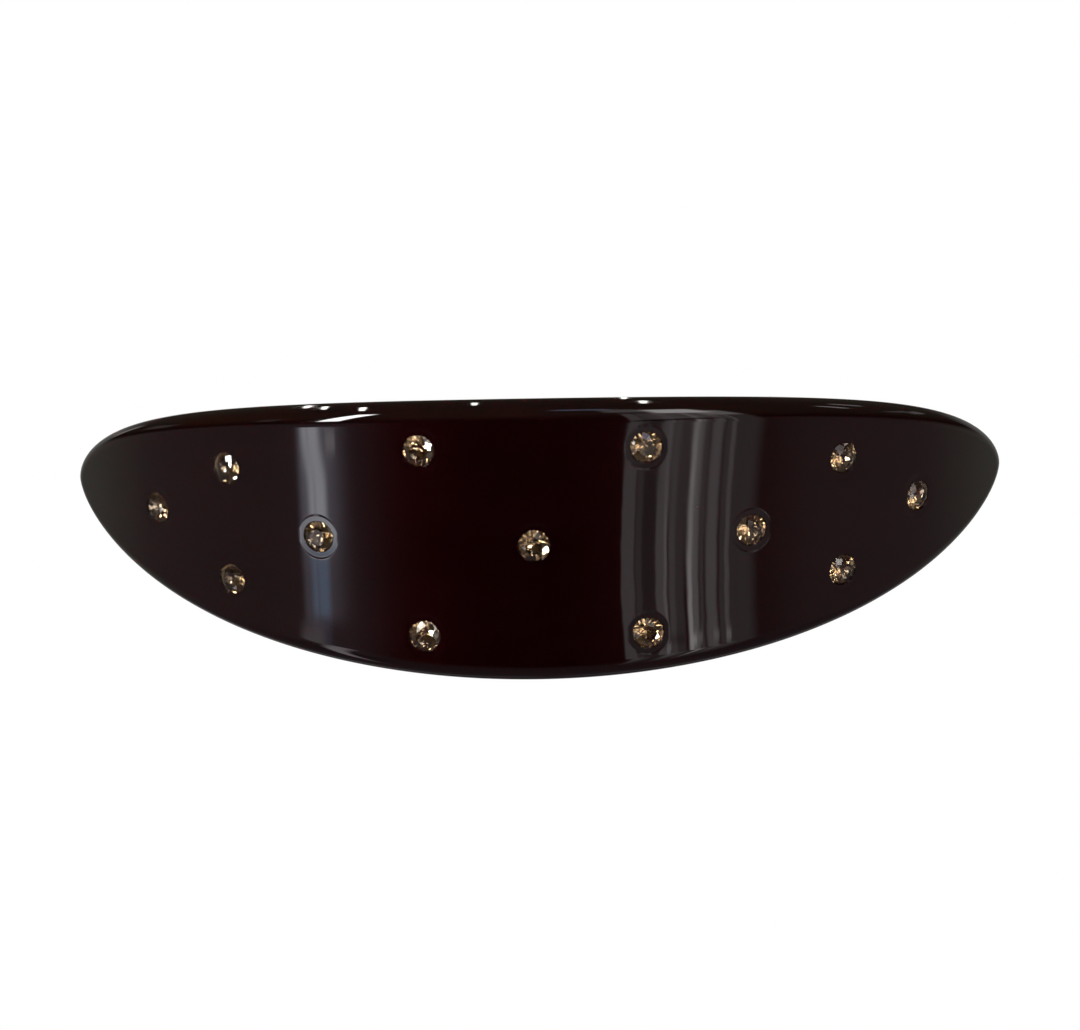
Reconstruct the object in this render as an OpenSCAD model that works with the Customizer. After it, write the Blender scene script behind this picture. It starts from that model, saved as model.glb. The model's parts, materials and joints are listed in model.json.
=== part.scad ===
// Oval hair barrette: a bent cellulose-acetate plate set with round crystals, on a sprung metal clip.
// X runs along the barrette, Z is up as it is worn, and the domed face looks towards -Y.
// The origin is the middle of the gap that holds the hair, between the tension bar and the arm.
// "Depth" is the distance in +Y behind the middle of the plate's inside face.

/* [Bow plate] */
// Radius of the bend, on the domed face
plate_r = 60; // [58:0.5:64]
// Half of the plate's length, along the domed face
plate_half_arc = 58; // [56:0.5:61]
// Half of the plate's height, at the middle
plate_half_h = 14.5; // [13.5:0.1:16]
// Thickness of the acetate sheet
plate_t = 3.4; // [3.2:0.1:4]
// Width of the rounded border, seen from the front
edge_round = 2.1; // [1.2:0.1:2.4]
// Draws in the ends of the outline: 1 gives an ellipse
end_draw = 1.17; // [1:0.01:1.3]

/* [Crystals] */
// Diameter of a crystal
crystal_d = 3.1; // [2.8:0.1:3.2]
// Distance along the domed face from the middle to each column of crystals
crystal_cols = [0, 11.1, 21.9, 32.4, 42.4];
// Height of each column's crystals above and below the middle line
crystal_rows = [0, 9.6, 0, 5.9, 0];

/* [Clip] */
// Half of the length of the clip's base, measured straight across
base_half_x = 33.5; // [33:0.1:34]
// Width of the clip's base
base_w = 8; // [7.8:0.1:8.4]
// Thickness of the base and the arm
strip_t = 0.8; // [0.6:0.05:0.9]
// Depth of the arm's front face at the middle
arm_mid = 12.2; // [12:0.1:12.6]
// Radius of the arm's front face
arm_r = 153; // [150:1:158]
// Width of the arm
arm_w = 6.1; // [5.6:0.1:6.1]
// Radius of the hinge pin
pin_r = 0.8; // [0.6:0.05:0.9]

/* [Tension bar] */
// Depth of the bar's front face at the middle
bar_mid = 4.9; // [4.5:0.1:5.2]
// Radius of the bar's front face
bar_r = 74.5; // [72:0.5:78]
// Width of the bar
bar_w = 4.4; // [3.6:0.1:5]
// Thickness of the bar
bar_t = 0.4; // [0.3:0.05:0.5]
// How far the bar gives towards the base
bar_travel = 2; // [1:0.1:2]

/* [Catch] */
// Half of the inside width of the window in the arm's end
window_half = 2.3; // [2.2:0.05:2.4]
// How far each catch barb reaches over the edge of the window
barb_bite = 0.3; // [0.2:0.05:0.35]
// Thickness of the catch wings
wing_t = 0.5; // [0.4:0.05:0.6]
// Length of the catch wings along the barrette
wing_len = 4; // [3.5:0.1:4.2]

/* [Hidden] */
$fn = 64;
cut = 1;                                  // overrun of every cutting shape
acetate = [0.16, 0.03, 0.05];
champagne = [0.84, 0.66, 0.42];
nickel = [0.72, 0.71, 0.69];
spring_steel = [0.60, 0.60, 0.62];

plate_in_r = plate_r - plate_t;
gap_mid = (bar_mid + bar_t + arm_mid) / 2;      // depth of the origin
axis_y = plate_in_r - gap_mid;                  // the bend's axis stands at [0, axis_y]
plate_n = 120;                                  // points round the outline, an even number
edge_n = 10;                                    // steps across the rounded border

crystal_r = crystal_d / 2;
crystal_table_r = 0.55 * crystal_r;
crystal_table_z = 0.30;                         // how far the table stands above the plate
crystal_girdle_z = -0.12;
crystal_girdle_t = 0.12;
crystal_depth = 1.62;
seat_gap = 0.01;

glue_gap = 0.05;                                // between the plate and the clip's base
base_r = plate_in_r - glue_gap;
base_back_r = base_r - strip_t;
base_end_a = asin(base_half_x / base_r);

ear_z = base_w / 2 - strip_t;                   // inside face of every ear folded up from the base
pin_x = 0.5 - base_half_x;
pin_depth = arm_mid + 3;
ear_r = 1.7;
knuckle_r = 1.5;
knuckle_t = 0.75;
pin_head_r = 1.25;
pin_head_t = 0.35;
press_gap = 0.01;
run_gap = 0.05;

lug_x = 25.5;                                   // where the bar's lugs stand
lug_half = 0.6;
lug_depth = depth_on_arc(bar_mid, bar_r, lug_x);
lug_end_z = base_w / 2 + 0.3;
slot_gap = 0.2;
bar_end_a = asin((lug_x + 0.9) / bar_r);

frame_depth = arm_mid + 2.6;                    // front face of the flat end of the arm
frame_half_w = 3.2;
frame_x0 = 27.9;
frame_x1 = 35.4;
frame_corner = 1.4;
window_corner = 0.4;
base_corner = 2.4;
wing_x0 = 29.5;
window_x0 = wing_x0 - 0.6;
window_x1 = wing_x0 + wing_len + 0.6;

wing_z = window_half - 0.6;                     // middle of the wing's inner leg
wing_depth = frame_depth - 1.9;                 // axis on which the wing bends
rod_r = 0.38;
channel_r = 0.42;
channel_out_r = 0.70;
channel_mouth_a = 65;                           // half angle of the channel's mouth
barb_gap = 0.06;
bridge_depth = frame_depth - 1.05;
pad_z = 4.1;
pad_t = 0.6;
wing_tip = frame_depth + 3.2;
wing_corner = 1.2;

web_t = 0.5;
web_half_w = 2.45;
web_a0 = 30.2;
web_a1 = 36.4;
catch_rivet_a = 32.6;
catch_rivet_r = 0.6;
catch_rivet_head_r = 1.0;

stud_a = 14.5;                                  // angle of the studs that hold the clip to the plate
stud_r = 0.9;
stud_head_r = 1.6;
stud_head_t = 0.55;
head_lift = 0.03;                               // a flat head stands this far off a curved strip
stud_bite = 2.2;                                // how deep a stud goes into the acetate

CRYSTALS = [for (side = [-1, 1], c = [0 : len(crystal_cols) - 1], up = [1, -1])
    if ((c > 0 || side > 0) && (crystal_rows[c] > 0 || up > 0))
    [side * crystal_cols[c], up * crystal_rows[c]]];
function crystal_name(i) = str("crystal_", i < 9 ? "0" : "", i + 1);

// Depth of a strip's face at x, for a face of radius r whose middle is at depth mid
function depth_on_arc(mid, r, x) = mid + r - sqrt(r * r - x * x);

// Point i of the outline at step j of the border: j runs from the inside face, round the edge,
// to the domed face, and the outline is [cos, sin ^ end_draw] stretched to the plate's size
function border_point(i, j) =
    let (phi = 360 * i / plate_n)
    let (turn = 180 * j / edge_n - 90)
    let (inset = edge_round * (1 - cos(turn)))
    let (arc = (plate_half_arc - inset) * cos(phi))
    let (z = (plate_half_h - inset) * sign(sin(phi)) * pow(abs(sin(phi)), end_draw))
    let (r = plate_r - plate_t / 2 * (1 - sin(turn)))
    let (a = arc / plate_r * 180 / PI)
    [r * sin(a), axis_y - r * cos(a), z];

// Indices of the two triangles between points i and i + 1 of steps j and j + 1
function border_pair(i, j) =
    let (a = j * plate_n + i, b = j * plate_n + (i + 1) % plate_n)
    [[a, b + plate_n, b], [a, a + plate_n, b + plate_n]];

// One flat strip of a face, straight up the plate, between outline points i and i + 1
function face_strip(i, j) =
    let (base = j * plate_n, below = (plate_n - i) % plate_n)
    i == 0 ? [base, base + plate_n - 1, base + 1] :
    i == plate_n / 2 - 1 ? [base + i, base + below, base + i + 1] :
    [base + i, base + below, base + below - 1, base + i + 1];

function reversed(face) = [for (k = [len(face) - 1 : -1 : 0]) face[k]];

// Stands its children on the bend's axis, so that their +Z points out through the plate
module on_bend(a, z) {
    translate([0, axis_y, z]) rotate([0, 0, a]) rotate([90, 0, 0]) children();
}

// Moves a drawing whose y is a depth into the part's own frame
module at_depth() {
    translate([0, -gap_mid, 0]) children();
}

// A strip bent about a vertical axis: front face of radius r, middle at depth mid
module bent_strip(mid, r, t, w, a0, a1) {
    at_depth() translate([0, mid + r, 0]) rotate([0, 0, a0 - 90])
        rotate_extrude(angle = a1 - a0, $fn = 128) translate([r - t, -w / 2]) square([t, w]);
}

// Two mirrored copies of a flat piece, whose inside faces stand at z0 above and below the middle
module pair(z0, t) {
    at_depth() for (side = [0, 1]) mirror([0, 0, side]) translate([0, 0, z0])
        linear_extrude(t) children();
}

// A rectangle from [x0, -half] to [x1, half], with round corners at its x1 end, and at x0 if both is true
module rounded_slab(x0, x1, half, r, both = false) {
    start = both ? x0 + r : x0;
    translate([start, -half]) square([x1 - r - start, 2 * half]);
    translate([x0, r - half]) square([x1 - x0, 2 * (half - r)]);
    for (z = [r - half, half - r], x = both ? [x0 + r, x1 - r] : [x1 - r]) translate([x, z]) circle(r = r);
}

// Carries a drawing of [x, z] back through the depths from d0 to d1
module through_depth(d0, d1) {
    at_depth() translate([0, d1, 0]) rotate([90, 0, 0]) linear_extrude(d1 - d0) children();
}

// A round bar along Z, in depth coordinates
module upright(x, depth, r, half_h) {
    at_depth() translate([x, depth, -half_h]) cylinder(r = r, h = 2 * half_h);
}

// A body of revolution whose local z is its distance from the bend's axis
module dome_head(r, t) {
    rotate_extrude() polygon([[0, 0], [r, 0], [r, 0.45 * t], [0.72 * r, 0.85 * t], [0, t]]);
}

module crystal_seat() {
    depth = crystal_girdle_z - crystal_girdle_t - seat_gap;
    r = crystal_r + seat_gap;
    translate([0, 0, depth]) cylinder(r = r, h = cut - depth);
    translate([0, 0, -crystal_depth - 0.08]) cylinder(r1 = 0, r2 = r, h = crystal_depth + 0.08 + depth);
}

module bow_plate() {
    half = plate_n / 2;
    points = [for (j = [0 : edge_n], i = [0 : plate_n - 1]) border_point(i, j)];
    border = [for (j = [0 : edge_n - 1], i = [0 : plate_n - 1], pair = border_pair(i, j)) pair];
    inside = [for (i = [0 : half - 1]) face_strip(i, 0)];
    domed = [for (i = [0 : half - 1]) reversed(face_strip(i, edge_n))];
    color(acetate) difference() {
        polyhedron(points = points, faces = concat(border, inside, domed), convexity = 6);
        for (c = CRYSTALS) on_bend(c[0] / plate_r * 180 / PI, c[1]) translate([0, 0, plate_r])
            crystal_seat();
        for (side = [-1, 1]) on_bend(side * stud_a, 0)
            translate([0, 0, base_r - cut]) cylinder(r = stud_r, h = cut + glue_gap + stud_bite);
    }
}

module crystal(i) {
    girdle_low = crystal_girdle_z - crystal_girdle_t;
    color(champagne) on_bend(CRYSTALS[i][0] / plate_r * 180 / PI, CRYSTALS[i][1])
        translate([0, 0, plate_r]) rotate_extrude() polygon([
            [0, crystal_table_z], [0, -crystal_depth], [crystal_r, girdle_low],
            [crystal_r, crystal_girdle_z], [crystal_table_r, crystal_table_z]]);
}

// Ear that carries the hinge pin, folded up from one edge of the base
module hinge_ear() {
    translate([pin_x, pin_depth]) circle(r = ear_r);
    polygon([[pin_x - 0.98 * ear_r, pin_depth - 0.2], [-base_half_x, depth_at_base(base_half_x)],
        [-28.5, depth_at_base(28.5)], [pin_x + 0.98 * ear_r, pin_depth + 0.2]]);
}

// Depth of the middle of the base's thickness at x
function depth_at_base(x) = depth_on_arc(glue_gap + strip_t / 2, base_r - strip_t / 2, x);

// Keeper with a slot for one lug of the tension bar
module bar_keeper(side) {
    foot = 1.9;
    top = lug_depth + bar_t + 1.4;
    difference() {
        polygon([[side * (lug_x - foot), depth_at_base(lug_x - foot)],
            [side * (lug_x + foot), depth_at_base(lug_x + foot)],
            [side * (lug_x + 1.5), top - 0.8], [side * (lug_x + 0.7), top],
            [side * (lug_x - 0.7), top], [side * (lug_x - 1.5), top - 0.8]]);
        translate([side * lug_x - lug_half - slot_gap, lug_depth - bar_travel - slot_gap])
            square([2 * (lug_half + slot_gap), bar_travel + bar_t + 2 * slot_gap]);
    }
}

module clip_base() {
    color(nickel) difference() {
        union() {
            intersection() {
                bent_strip(glue_gap, base_r, strip_t, base_w, -base_end_a, base_end_a);
                through_depth(-cut, pin_depth)
                    rounded_slab(-base_half_x - cut, base_half_x, base_w / 2, base_corner);
            }
            pair(ear_z, strip_t) hinge_ear();
            for (side = [-1, 1]) pair(ear_z, strip_t) bar_keeper(side);
        }
        upright(pin_x, pin_depth, pin_r + press_gap, base_w);
        for (side = [-1, 1]) on_bend(side * stud_a, 0)
            translate([0, 0, base_back_r - cut]) cylinder(r = stud_r + press_gap, h = strip_t + 2 * cut);
        on_bend(catch_rivet_a, 0) translate([0, 0, base_back_r - cut])
            cylinder(r = catch_rivet_r + press_gap, h = strip_t + 2 * cut);
    }
}

module plate_stud(side) {
    color(nickel) on_bend(side * stud_a, 0) {
        translate([0, 0, base_back_r - head_lift])
            cylinder(r = stud_r, h = head_lift + strip_t + glue_gap + stud_bite - 0.05);
        translate([0, 0, base_back_r - head_lift]) mirror([0, 0, 1]) dome_head(stud_head_r, stud_head_t);
    }
}

module hinge_pin() {
    color(nickel) {
        upright(pin_x, pin_depth, pin_r, base_w / 2 + 0.1);
        at_depth() for (side = [0, 1]) mirror([0, 0, side])
            translate([pin_x, pin_depth, base_w / 2]) dome_head(pin_head_r, pin_head_t);
    }
}

// Cheek at the arm's hinged end, with the pin's knuckle
module arm_cheek() {
    cheek_x = -26.5;
    cheek_depth = depth_on_arc(arm_mid, arm_r, cheek_x);
    translate([pin_x, pin_depth]) circle(r = knuckle_r);
    polygon([[pin_x, pin_depth - knuckle_r], [cheek_x, cheek_depth + 0.1],
        [cheek_x, cheek_depth + strip_t - 0.1], [pin_x, pin_depth + knuckle_r]]);
}

module clip_arm() {
    strip_a0 = -asin(31.4 / arm_r);
    strip_a1 = asin((frame_x0 + 0.4) / arm_r);
    knuckle_z = ear_z - 0.15 - knuckle_t;
    color(nickel) difference() {
        union() {
            bent_strip(arm_mid, arm_r, strip_t, arm_w, strip_a0, strip_a1);
            pair(knuckle_z, knuckle_t) arm_cheek();
            through_depth(frame_depth, frame_depth + strip_t)
                rounded_slab(frame_x0, frame_x1, frame_half_w, frame_corner);
        }
        upright(pin_x, pin_depth, pin_r + run_gap, base_w);
        through_depth(frame_depth - cut, frame_depth + strip_t + cut)
            rounded_slab(window_x0, window_x1, window_half, window_corner, both = true);
    }
}

module tension_bar() {
    color(spring_steel) {
        bent_strip(bar_mid, bar_r, bar_t, bar_w, -bar_end_a, bar_end_a);
        for (side = [-1, 1]) at_depth()
            translate([side * lug_x - lug_half, lug_depth, -lug_end_z])
                cube([2 * lug_half, bar_t, 2 * lug_end_z]);
    }
}

// Places a drawing of [z, depth] so that it runs along the catch
module along_catch() {
    at_depth() translate([wing_x0 + wing_len, 0, 0]) rotate([0, -90, 0]) linear_extrude(wing_len) children();
}

// C-shaped channel that holds one wing's rolled edge
module channel() {
    reach = 2 * channel_out_r;
    slope = reach / tan(channel_mouth_a);
    translate([wing_z, wing_depth]) difference() {
        circle(r = channel_out_r);
        circle(r = channel_r);
        polygon([[0, 0], [reach, slope], [reach, reach], [-reach, reach], [-reach, slope]]);
    }
}

module catch_spring() {
    color(spring_steel) difference() {
        union() {
            bent_strip(glue_gap + strip_t, base_back_r, web_t, 2 * web_half_w, web_a0, web_a1);
            along_catch() channel();
            along_catch() mirror([1, 0]) channel();
            pair(wing_z - wing_t / 2, wing_t) catch_lip();
        }
        on_bend(catch_rivet_a, 0) translate([0, 0, base_back_r - web_t - cut])
            cylinder(r = catch_rivet_r + press_gap, h = web_t + 2 * cut);
    }
}

// Lip that joins the web, which lies on the base, to the channel
module catch_lip() {
    mid = glue_gap + strip_t + web_t / 2;
    r = base_back_r - web_t / 2;
    wing_x1 = wing_x0 + wing_len;
    top = wing_depth - (channel_out_r + channel_r) / 2;
    polygon([[wing_x0, depth_on_arc(mid, r, wing_x0)], [wing_x1, depth_on_arc(mid, r, wing_x1)],
        [wing_x1, max(top, depth_on_arc(mid, r, wing_x1))], [wing_x0, top]]);
}

module catch_rivet() {
    color(nickel) on_bend(catch_rivet_a, 0) {
        translate([0, 0, base_back_r - web_t - head_lift])
            cylinder(r = catch_rivet_r, h = head_lift + web_t + strip_t);
        translate([0, 0, base_back_r - web_t - head_lift]) mirror([0, 0, 1])
            dome_head(catch_rivet_head_r, 0.4);
    }
}

// Section of a catch wing: rolled edge, leg with its barb, bridge and finger pad
module wing_section() {
    leg_in = wing_z - wing_t / 2;
    leg_out = wing_z + wing_t / 2;
    barb_z = window_half + barb_bite;
    hook = frame_depth + strip_t + barb_gap;
    translate([wing_z, wing_depth]) circle(r = rod_r);
    polygon([[leg_in, wing_depth], [leg_out, wing_depth], [leg_out, hook], [barb_z, hook + 0.45],
        [barb_z, hook + 0.6], [leg_out, hook + 1.7], [leg_out - 0.1, wing_tip], [leg_in, wing_tip]]);
    translate([wing_z, bridge_depth]) square([pad_z + pad_t - wing_z, 0.55]);
    polygon([[pad_z, bridge_depth], [pad_z + pad_t, bridge_depth], [pad_z + pad_t, frame_depth + 1],
        [pad_z + pad_t + 0.5, wing_tip], [pad_z + 0.5, wing_tip], [pad_z, frame_depth + 1]]);
}

// Outline of a catch wing seen along Z, with the corners of its free end rounded
module wing_outline() {
    foot = wing_depth - 2 * rod_r;
    x1 = wing_x0 + wing_len;
    translate([wing_x0, foot]) square([wing_len, wing_tip - wing_corner - foot]);
    translate([wing_x0 + wing_corner, foot]) square([wing_len - 2 * wing_corner, wing_tip - foot]);
    for (x = [wing_x0 + wing_corner, x1 - wing_corner])
        translate([x, wing_tip - wing_corner]) circle(r = wing_corner);
}

module catch_wing(side) {
    color(nickel) intersection() {
        along_catch() mirror([side < 0 ? 1 : 0, 0]) wing_section();
        at_depth() translate([0, 0, -base_w]) linear_extrude(2 * base_w) wing_outline();
    }
}

bow_plate();
for (i = [0 : len(CRYSTALS) - 1])
    crystal(i);
clip_base();
plate_stud(-1);  // plate_stud_left
plate_stud(1);  // plate_stud_right
hinge_pin();
clip_arm();
tension_bar();
catch_spring();
catch_rivet();
catch_wing(1);  // catch_wing_upper
catch_wing(-1);  // catch_wing_lower
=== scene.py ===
"""Looks of an oval hair barrette: a bent, polished acetate plate set with crystals, on a steel clip.

Everything is in metres, in the clip's own frame: X runs along the barrette, Z is up as it is worn,
and the domed face looks towards -Y.
"""

import json
import math

import bmesh
import bpy
import numpy as np
from bpy.props import FloatProperty, FloatVectorProperty, PointerProperty
from mathutils import Matrix, Vector

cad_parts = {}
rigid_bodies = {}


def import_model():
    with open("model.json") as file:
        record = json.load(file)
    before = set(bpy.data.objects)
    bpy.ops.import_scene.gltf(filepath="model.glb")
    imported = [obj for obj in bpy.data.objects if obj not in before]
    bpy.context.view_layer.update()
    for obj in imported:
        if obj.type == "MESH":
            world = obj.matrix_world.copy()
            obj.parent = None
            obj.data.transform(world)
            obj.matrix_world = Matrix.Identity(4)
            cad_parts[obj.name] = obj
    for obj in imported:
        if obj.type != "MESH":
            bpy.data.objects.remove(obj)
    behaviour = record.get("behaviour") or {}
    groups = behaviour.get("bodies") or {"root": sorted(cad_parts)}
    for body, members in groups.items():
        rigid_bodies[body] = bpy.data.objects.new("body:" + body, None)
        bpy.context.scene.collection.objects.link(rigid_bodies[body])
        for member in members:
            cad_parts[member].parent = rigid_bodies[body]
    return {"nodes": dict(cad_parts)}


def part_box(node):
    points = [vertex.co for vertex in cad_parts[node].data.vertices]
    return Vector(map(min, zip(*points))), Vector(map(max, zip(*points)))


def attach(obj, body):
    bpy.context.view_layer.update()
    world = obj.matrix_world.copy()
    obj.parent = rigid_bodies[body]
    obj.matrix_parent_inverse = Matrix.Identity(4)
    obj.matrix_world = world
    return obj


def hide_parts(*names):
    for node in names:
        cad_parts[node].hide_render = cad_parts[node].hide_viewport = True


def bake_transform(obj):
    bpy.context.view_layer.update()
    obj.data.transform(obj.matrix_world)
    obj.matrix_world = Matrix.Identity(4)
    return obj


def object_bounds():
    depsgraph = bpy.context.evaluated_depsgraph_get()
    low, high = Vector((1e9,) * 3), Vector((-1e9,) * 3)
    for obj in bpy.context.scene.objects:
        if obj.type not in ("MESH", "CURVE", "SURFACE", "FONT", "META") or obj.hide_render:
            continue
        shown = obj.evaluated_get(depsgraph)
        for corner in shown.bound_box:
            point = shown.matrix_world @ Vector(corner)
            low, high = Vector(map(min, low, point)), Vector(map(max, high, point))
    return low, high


bl_info = {
    "name": "Crystal-set barrette",
    "version": (1, 0, 0),
    "blender": (4, 5, 0),
    "location": "3D View > Sidebar > Barrette",
    "description": "Makes an acetate barrette with set crystals, a sprung clip and its studio",
    "category": "Add Mesh",
}

MM = 0.001
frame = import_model()
CAD_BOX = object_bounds()
PLATE_LOW, PLATE_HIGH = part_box("bow_plate")
CRYSTALS = sorted(name for name in frame["nodes"] if name.startswith("crystal_"))

WELD = 1e-7                 # points closer than this are one point
SIDES = 64                  # points round a crystal's seat; the plate's grid has a quarter on each side
BLOCK = SIDES // 4          # grid steps across a seat
GAP_STEPS = 8               # grid steps between two seats
TIP_STEPS = 18              # grid steps from the last seat to the plate's tip
PLAIN_STEPS = 18            # grid steps above and below a single seat
ROUND_STEPS = 24            # steps round the plate's border
BACK_STEPS = 12             # steps up the plate's inside face
EDGE_STEPS = 4              # grid steps above and below a pair of seats
BETWEEN_STEPS = 12          # grid steps between the two seats of a pair

SEAT_PLAY = 0.03 * MM       # between a crystal's girdle and its seat
BLOCK_MARGIN = 0.24 * MM    # from a seat's spot face to the border of its block of the grid
GRID_MARGIN = 0.03 * MM     # least distance from a block to the edge of the domed face
LEVEL = 0.1 * MM            # a crystal nearer than this to the middle line is on it
WALL_REACH = 0.2 * MM       # how far a seat's rings reach past its spot face
WALL_SLOPE = 0.2            # rise of the spot face's wall over its run
WALL_SOFT = 0.012 * MM      # how softly the spot face turns up into its wall
ROUND_OFF = 0.004 * MM      # rounding of the corner where the wall meets the dome
FLAT_MARGIN = 0.06 * MM     # closer rings begin this far inside the spot face's edge
SEAT_DEPTH = 1.72 * MM      # depth of the point of a seat's cone
GIRDLE_DEPTH = 0.12 * MM    # depth of a crystal's girdle below the domed face
CRYSTAL_TILT = 0.02         # usual tilt of a crystal in its seat, in radians
UP = np.array([0, 0, 1.0])


# -------------------- sizes and colours


def length(name, description, size, low, high):
    """A length, from millimetres, with its least and its greatest value."""
    return FloatProperty(
        name=name, description=description, default=size * MM, min=low * MM, max=high * MM,
        unit="LENGTH",
    )


def degrees(name, description, value):
    """An angle, from degrees."""
    return FloatProperty(
        name=name, description=description, default=math.radians(value), subtype="ANGLE",
    )


def tint(name, description, value):
    return FloatVectorProperty(
        name=name, description=description, subtype="COLOR", default=value, min=0.0, max=1.0, size=3,
    )


class PlateSizes(bpy.types.PropertyGroup):
    """Sizes of the acetate plate"""

    bend: length("Bend radius", "Radius of the domed face", 60, 50, 80)
    half_arc: length("Half length", "Half of the length along the domed face", 58, 50, 70)
    thickness: length("Thickness", "Thickness of the acetate sheet", 3.4, 2, 5)
    border: length("Border", "Width of the rounded border, seen from the front", 2.1, 1, 3)
    end_draw: FloatProperty(
        name="End draw", description="Draws in the ends of the outline: 1 gives an ellipse",
        default=1.17, min=1.0, max=1.5,
    )
    colour: tint("Acetate", "Colour deep in the acetate", (0.0062, 0.0002, 0.0004))
    colour_light: tint("Swirl", "Colour of its lighter swirls", (0.0085, 0.0005, 0.0008))


class CrystalSizes(bpy.types.PropertyGroup):
    """Sizes and colours of a crystal and of its seat in the plate"""

    radius: length("Radius", "Radius of a crystal's girdle", 1.55, 1, 2)
    spot_radius: length("Spot face", "Radius of the flat round each crystal", 2.16, 1.8, 2.3)
    spot_depth: length("Spot depth", "Depth of that flat below the dome", 0.035, 0, 0.1)
    glass: tint("Glass", "Colour of the crystal glass", (1.0, 0.96, 0.90))
    foil: tint("Foil", "Colour of the foil behind the crystals", (0.58, 0.48, 0.355))


class BarSizes(bpy.types.PropertyGroup):
    """Sizes of the tension bar"""

    bend: length("Bend radius", "Radius of the bar's front face", 74.5, 72, 78)
    thickness: length("Thickness", "Thickness of the spring strip", 0.4, 0.3, 0.5)
    width: length("Width", "Width of the spring strip", 4.4, 3.6, 5)
    lug_x: length("Lug place", "From the middle to the lugs in the keepers", 25.5, 20, 30)
    lug_width: length("Lug width", "Width of a lug along the bar", 1.2, 0.8, 1.6)


class StageSettings(bpy.types.PropertyGroup):
    """The camera and the surroundings"""

    distance: length("Distance", "From the camera to where it looks", 300, 100, 2000)
    azimuth: degrees("Azimuth", "How far round towards +X the camera stands", 1.306)
    elevation: degrees("Elevation", "How far above the horizon the camera stands", 17.905)
    roll: degrees("Roll", "How far the camera is turned about its line of sight", -1.3)
    lens: FloatProperty(
        name="Lens", description="Focal length in millimetres, on a 36 mm sensor",
        default=102.47, min=20, max=300,
    )
    surroundings: FloatProperty(
        name="Surroundings", description="Brightness of what the polish reflects",
        default=1.0, min=0.0, max=10.0,
    )


# -------------------- meshes from arrays


def smooth_step(x, low, high):
    """0 below low, 1 above high, and 3t^2 - 2t^3 of the share of the way t between them."""
    t = np.clip((x - low) / (high - low), 0, 1)
    return t * t * (3 - 2 * t)


def quads(index):
    """The four corners of every cell of a grid of point numbers, anticlockwise as rows go up."""
    a, b = index[:-1, :-1], index[1:, :-1]
    c, d = index[1:, 1:], index[:-1, 1:]
    return np.stack([a, b, c, d], -1)


def weld(points, normals, faces):
    """Joins points that share a place, and drops the faces and corners that this closes up."""
    _, first, to = np.unique(
        np.round(points / WELD).astype(np.int64), axis=0, return_index=True, return_inverse=True
    )
    faces = to.reshape(-1)[faces]
    repeated = faces == np.roll(faces, -1, axis=1)
    whole = faces[repeated.sum(1) == 0]
    folded = repeated.sum(1) == 1
    kept = ~repeated[folded]
    triangles = faces[folded][kept].reshape(-1, 3)
    return points[first], normals[first], whole.tolist() + triangles.tolist()


def placed(name, data):
    """A new object of the scene that holds this mesh, light or camera."""
    piece = bpy.data.objects.new(name, data)
    bpy.context.scene.collection.objects.link(piece)
    return piece


def new_piece(name, points, faces, material, normals=None):
    """A mesh object at the origin, from its points in metres; smooth if it has its own normals."""
    mesh = bpy.data.meshes.new(name)
    mesh.from_pydata(points.tolist(), [], faces)
    mesh.materials.append(material)
    if normals is not None:
        mesh.polygons.foreach_set("use_smooth", [True] * len(mesh.polygons))
        mesh.normals_split_custom_set_from_vertices(normals.tolist())
    mesh.update()
    return placed(name, mesh)


# -------------------- materials


class Number:
    """One value in a node tree. Python's operators on it add the Math nodes that work it out."""

    def __init__(self, nodes, socket):
        self.nodes = nodes
        self.socket = socket

    def __add__(self, other):
        return self.nodes.math("ADD", self, other)

    def __radd__(self, other):
        return self.nodes.math("ADD", other, self)

    def __sub__(self, other):
        return self.nodes.math("SUBTRACT", self, other)

    def __rsub__(self, other):
        return self.nodes.math("SUBTRACT", other, self)

    def __mul__(self, other):
        return self.nodes.math("MULTIPLY", self, other)

    def __rmul__(self, other):
        return self.nodes.math("MULTIPLY", other, self)

    def __pow__(self, other):
        return self.nodes.math("POWER", self, other)

    def __abs__(self):
        return self.nodes.math("ABSOLUTE", self)


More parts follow.
